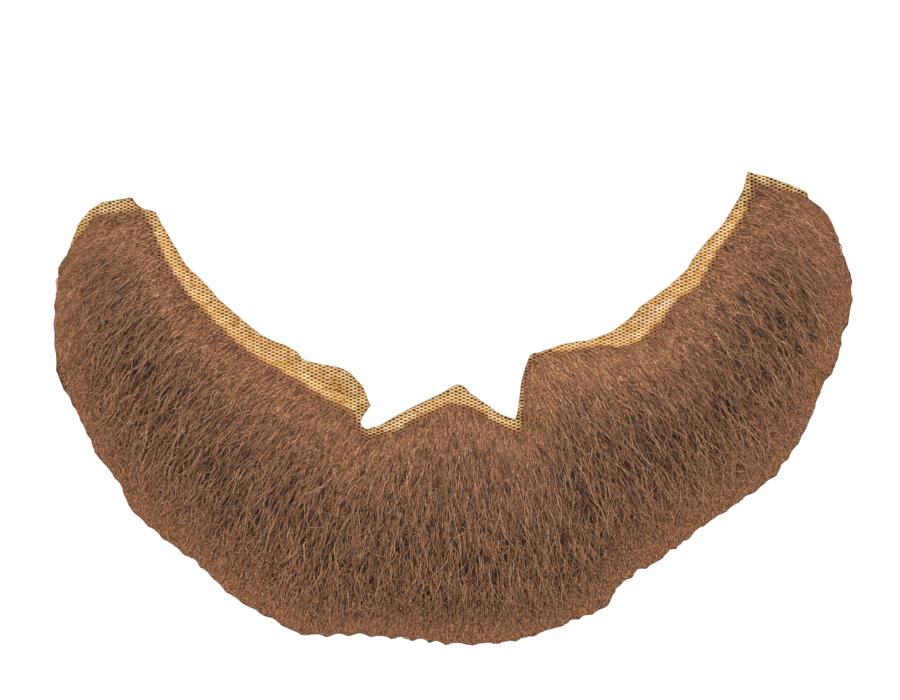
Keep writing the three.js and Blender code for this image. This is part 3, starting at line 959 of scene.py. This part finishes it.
def strand_light(angle, share, deep, off, dusk, gain):
    """Lightness along strands, and how much of a dash of shade they take: dimmer the deeper they
    lie and the more open the coat is, plus the belts. Dusk marks the strands left in the dark."""
    gap = openness(angle, share)
    below = ease(deep - off, -1.9, 0.0)[:, None]
    covered = mix(1.3, 0.2, ease(deep, -0.2, 0.3))[:, None]
    dim = 1 - 0.18 * ease(share, 0.1, 0.4) * ease(gap, 0.0, 0.8) + covered * belts(angle, share)
    light = dim * mix(1 - 0.5 * gap, 1.0, mix(below, below ** 1.3, gap))
    light = np.where(dusk[:, None], light * mix(0.55, 0.12, gap), light)
    return light * mix(1.0, gain, gap), gap * (1 - ease(deep, -0.3, 0.5))[:, None]


print("shade at the left jaw:", np.round(belts(-40.0, 0.5), 2))

# %% [markdown]
# ### One family of strands
# Strands of one kind share their length, width, depth and curl. Most of them keep to clumps, as
# combed hair does. A strand that would pass the cut is shortened until it ends there.

# %% Growing strands
PITCH, LOCKS = 0.42, 7  # degrees of combing to a clump, and the seed of the clumps


def grow(count, share_range, length_range, width_range, seed, depth, stations=8, wave=9.0,
         crinkle=0.0, frizz=3.0, clump=0.2, angles=(HAIR_FROM, HAIR_TO), tone=(0.0, 1.0), loose=0.22,
         lean=1.0, ragged=0.0, thin=0.0, roll=0.45, dusky=0.0, gain=1.0):
    """One family of strands: paths, widths, tones and lightness. Each strand follows the combing and
    sways by a wave along it, a finer crinkle and a random turn at each station."""
    rng = np.random.default_rng(seed)
    angle, share = even_roots(count, seed, angles, share_range, lean)
    if ragged:
        share = share * (1 + ragged * wander(comb_place(angle, share) * ARC, 0 * share, 5.0, 77))
    length = rng.uniform(*length_range, count)
    line = comb_place(angle, share)
    lock = np.round(line / PITCH)
    beat = np.random.default_rng(LOCKS).uniform(0, 1, (3, 512))[:, lock.astype(int) % 512]
    free = rng.uniform(0, 1, count) < loose
    step_of = 0.9 * wander(line, 0 * line, 2.2, LOCKS) + rng.normal(0, 0.06, count)
    beat[1] = np.where(free, rng.uniform(0, 1, count), step_of)
    hold = np.where(free, 0.0, clump)
    leader = (lock + 0.7 * (beat[0] - 0.5)) * PITCH
    run = share * (hair_tip(angle) - hair_root(angle))
    curl = 12 + 10 * beat[2]
    own = rng.normal(0, frizz, (stations, count))

    def sway(step):
        """Turn of each strand at a station, in degrees."""
        far = run + step * length / (stations - 1)
        fine = crinkle * np.sin(2 * np.pi * (beat[2] * 7 + far / (0.42 * curl)))
        return wave * np.sin(2 * np.pi * (beat[1] + far / curl)) + fine + own[:step + 1].sum(0)

    path = combed(angle, share, length, stations, sway)
    for _ in range(2):
        a, r = on_fan(path[:, -1])
        s = share_of(a, r)
        limit = fringe(a) - np.abs(rng.normal(0, 0.0025, count))
        over = np.clip((limit - share) / np.maximum(s - share, 1e-6), 0.05, 1)
        length = np.where(s > limit, length * over, length)
        path = combed(angle, share, length, stations, sway)
    a, r = on_fan(path)
    s = share_of(a, r)
    t = np.linspace(0, 1, stations)
    a = a + ((leader - line) * hold)[:, None] * ease(t, 0.0, 0.5)[None]
    deep = mix(*depth, even(count, seed, "depth"))
    off = np.abs(leader - line) / PITCH * hold
    seat = seat_of(a, s)
    top = pile_top(a, s)
    rise = mix(0.5, 1.0, ease(t, 0.0, 0.4))[None]
    height = np.maximum(seat + (top - seat) * rise + (deep - off)[:, None], seat + 0.3)
    path = np.concatenate([spoke(a, r), height[..., None]], -1)
    light, sunk = strand_light(a, s, deep, off, even(count, seed, "dark") < dusky, gain)
    made = {"path": path, "width": rng.uniform(*width_range, count), "line": line, "light": light,
            "tone": mix(*tone, even(count, seed, "tone")), "roll": rng.normal(0, roll, count),
            "lane": comb_place(a, s) * ARC, "reach": r, "sunk": sunk}
    edge = from_edge(angle, radius_at(angle, share))
    keep = share < fringe(angle) - 0.006
    if thin:
        keep &= rng.uniform(0, 1, count) < ease(edge, -0.2, thin)
    return {key: value[keep] for key, value in made.items()}


print("clumps over the fan:", round((HAIR_TO - HAIR_FROM) / PITCH))

# %% [markdown]
# ### Ribbons
# A round tube for each hair would need many faces. At this size a ribbon looks the same, and
# the finish shades it darker at its two sides so that it reads as round.

# %% Ribbons along the strands


def ribbons(name, strands, material):
    """Ribbons along paths, rolled a little each way: two points across at each station and one
    at the tip."""
    path, width, roll = strands["path"], strands["width"], strands["roll"]
    n, stations = path.shape[:2]
    ahead = np.gradient(path, axis=1)
    side = np.stack([ahead[..., 1], -ahead[..., 0], 0 * ahead[..., 0]], -1)
    side /= np.linalg.norm(side, axis=-1, keepdims=True) + 1e-9
    side = side * np.cos(roll)[:, None, None] + np.array([0, 0, 1]) * np.sin(roll)[:, None, None]
    taper = np.interp(np.linspace(0, 1, stations), [0, 0.15, 0.6, 1], [0.6, 1, 0.9, 0.3])
    out = side * width[:, None, None] * taper[None, :, None] / 2
    across = np.stack([path - out, path + out], 2)[:, :-1].reshape(n, -1, 3)
    verts = np.concatenate([across, path[:, -1:]], 1)
    a = 2 * np.arange(stations - 2)
    left = np.stack([a, a + 2, a + 3], -1)
    right = np.stack([a, a + 3, a + 1], -1)
    tip = 2 * (stations - 1)
    cells = np.concatenate([left, right, [(tip - 2, tip, tip - 1)]])
    size = tip + 1
    faces = (cells[None] + size * np.arange(n)[:, None, None]).reshape(-1, 3)
    piece = new_piece(name, verts.reshape(-1, 3) * MM, faces, material)
    pair = lambda v: np.concatenate([np.repeat(v[:, :-1], 2, 1), v[:, -1:]], 1)
    for key in ("light", "lane", "reach", "sunk"):
        give(piece, key, pair(strands[key]))
    give(piece, "tone", np.repeat(strands["tone"], size))
    run = np.linalg.norm(np.diff(path, axis=1), axis=2).cumsum(1)
    give(piece, "along", pair(np.c_[np.zeros(n), run]))
    give(piece, "across", np.tile(np.r_[np.tile([0.0, 1.0], stations - 1), 0.5], n))
    columns = int(np.ceil(np.sqrt(n * 3)))
    lines = int(np.ceil(n / columns))
    u = np.r_[np.tile([0.15, 0.85], stations - 1), 0.5]
    v = 0.05 + 0.9 * pair(np.linspace(0, 1, stations)[None])[0]
    spot = np.stack([np.arange(n) % columns, np.arange(n) // columns], -1)
    uv = (spot[:, None] + np.stack([u, v], -1)[None]) / np.array([columns, lines])
    bake_map(piece, uv.reshape(-1, 2))
    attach(piece, "root")
    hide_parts("hair")
    print(name, n, "strands,", len(piece.data.polygons), "triangles")


print("a ribbon of 8 stations has", 2 * 8 - 3, "triangles")

# %% [markdown]
# ### Colour of the hair
# The hair is a warm mid brown, with painted light that makes it lighter at the hairline and the
# rim. Strands that lie deep are painted darker, as little light reaches them. Between the combed
# strands lie short dashes of painted shade: a noise stretched along the combing darkens all strands
# in a dash, except the topmost. A second noise paints a glint on each strand, as where crimped hair
# turns to the light.

# %% Hair finish
GAP_DEPTH, GAP_LIGHT = 0.95, 0.45  # how dark the dashes of shade are, and how light it is between them


def hair_finish(name, spark, pace, edge):
    """Brown by the strand's tone, with painted shade at its two sides as on a round hair, and painted
    glints along it where the crimp turns to the light. spark is how strong the glints are, pace how
    many there are to a millimetre, and edge how dark the painted side shade is."""
    made, start, shader = finish(name, 0.6, 0.12)
    read = start.read
    tone, across = read("tone"), read("across") * 2.0 - 1.0
    spot = start.flat(tone * 5000.0, read("along") * pace)
    glint = start.noise(1.0, spot, detail=1.0, noise_dimensions="2D")
    brown = tone.ramp((0.0, srgb(85, 56, 38)), (0.25, srgb(115, 77, 52)), (0.5, srgb(147, 101, 70)),
                      (0.8, srgb(171, 120, 85)), (1.0, srgb(201, 149, 110)))
    lane = start.flat(read("lane") * 3.2, read("reach") * 0.2)
    dash = start.noise(1.0, lane, detail=0.0, noise_dimensions="2D")
    shade = 1.0 + read("sunk") * dash.remap(0.40, 0.60, -GAP_DEPTH, GAP_LIGHT)
    round_shade = (1 + 0.3 * edge) - edge * across * across
    lit = read("light") * round_shade * (spark * glint + (1 - 0.5 * spark)) * shade
    # Below a lightness of one the brown goes to a slate colour of painted shade; above one it is
    # brightened as painted light.
    bright = start.math("MAXIMUM", lit, 1.0)
    bright = start.node("ShaderNodeCombineColor", None, {"Red": bright, "Green": bright, "Blue": bright})
    paint(shader, start.math("MINIMUM", lit, 1.0).blend(srgb(32, 31, 31), brown.tint(bright)))
    paint(shader, 0.7 - 0.2 * glint, "Roughness")
    return made


rim_hair = hair_finish("rim_hair", 3.6, 1.6, 1.0)
root_hair = hair_finish("root_hair", 3.0, 0.8, 1.4)
long_hair = hair_finish("long_hair", 1.9, 0.7, 1.6)
print("hair finishes:", rim_hair.name, root_hair.name, long_hair.name)

# %% [markdown]
# ### The coat, family by family
# Short frizzy hair felts the roots, the rim and the two sideburn ends. Between them the coat is
# longer and combed: a dark layer close to the pad, a layer of crimped hair above it in four
# bands laid like shingles, and a few bright and stray hairs on the surface.

# %% Short hair at the roots, the rim and the ends
SHORT = dict(stations=5, clump=0.1)
roots = grow(24000, (0.006, 0.46), (4, 9), (0.24, 0.34), SEED + 100, (-0.8, 0.0), wave=9, frizz=10,
             tone=(0.28, 0.92), lean=1.7, ragged=0.22, thin=4.0, roll=0.25, dusky=0.18, **SHORT)
ribbons("hair_short_roots", roots, root_hair)
rim = grow(18000, (0.62, 1.0), (2.4, 5.5), (0.32, 0.46), SEED + 110, (-0.9, 0.2), wave=8, frizz=18,
           tone=(0.27, 0.62), lean=0.45, roll=0.2, **SHORT)
ribbons("hair_short_rim", rim, rim_hair)
under = grow(12000, (0.2, 0.85), (5, 10), (0.3, 0.5), SEED + 120, (-2.8, -1.6), stations=4, wave=8,
             frizz=10, clump=0.4)
ribbons("hair_short_under", under, long_hair)
for k, side_angles in enumerate([(HAIR_FROM - 0.3, -66), (74, HAIR_TO + 1.3)]):
    end = grow(5600, (0.0, 1.0), (3.5, 8), (0.25, 0.37), SEED + 130 + k, (-0.8, 0.1), wave=9, frizz=7,
               angles=side_angles, tone=(0.27 - 0.24 * k, 0.88 - 0.24 * k), thin=6.0, roll=0.25,
               dusky=0.2, **SHORT)
    ribbons("hair_short_" + ("left_end", "right_end")[k], end, root_hair)

# %% Long combed hair
BANDS = [(0.50, 0.88, 8, 18), (0.34, 0.66, 10, 24), (0.18, 0.46, 10, 25), (0.06, 0.28, 8, 22)]
deep = [grow(3600, band[:2], band[2:], (0.36, 0.54), SEED + 200 + 10 * k, (-2.6, -0.9), stations=6,
             tone=(0.2, 0.6), gain=0.58) for k, band in enumerate(BANDS)]
top = [grow(2250, band[:2], band[2:], (0.25, 0.36), SEED + 250 + 10 * k, (-1.2, 0.0), stations=8,
            crinkle=8, frizz=6.5, clump=0.1, loose=0.4, dusky=0.25, tone=(0.25, 0.8), gain=0.58)
       for k, band in enumerate(BANDS)]
SECTORS = {"left": (-99, -26), "chin": (-26, 26), "right": (26, 99)}
for layer, coats in (("deep", deep), ("top", top)):
    whole = {key: np.concatenate([c[key] for c in coats]) for key in coats[0]}
    for side, (first, last) in SECTORS.items():
        here = (whole["line"] >= first) & (whole["line"] < last)
        part = {key: value[here] for key, value in whole.items()}
        ribbons("hair_" + layer + "_" + side, part, long_hair)
surface = grow(3100, (0.14, 0.72), (9, 25), (0.23, 0.31), SEED + 290, (0.1, 0.6), stations=11, wave=11,
               crinkle=7, frizz=6, clump=0.0, loose=0.5, tone=(0.42, 1.0))
ribbons("hair_surface", surface, long_hair)
stray = grow(2600, (0.1, 0.84), (6, 15), (0.2, 0.29), SEED + 300, (0.0, 0.7), stations=11, wave=15,
             frizz=17, clump=0.0, loose=1.0, tone=(0.4, 0.9), lean=0.7)
ribbons("hair_stray", stray, long_hair)

# %% [markdown]
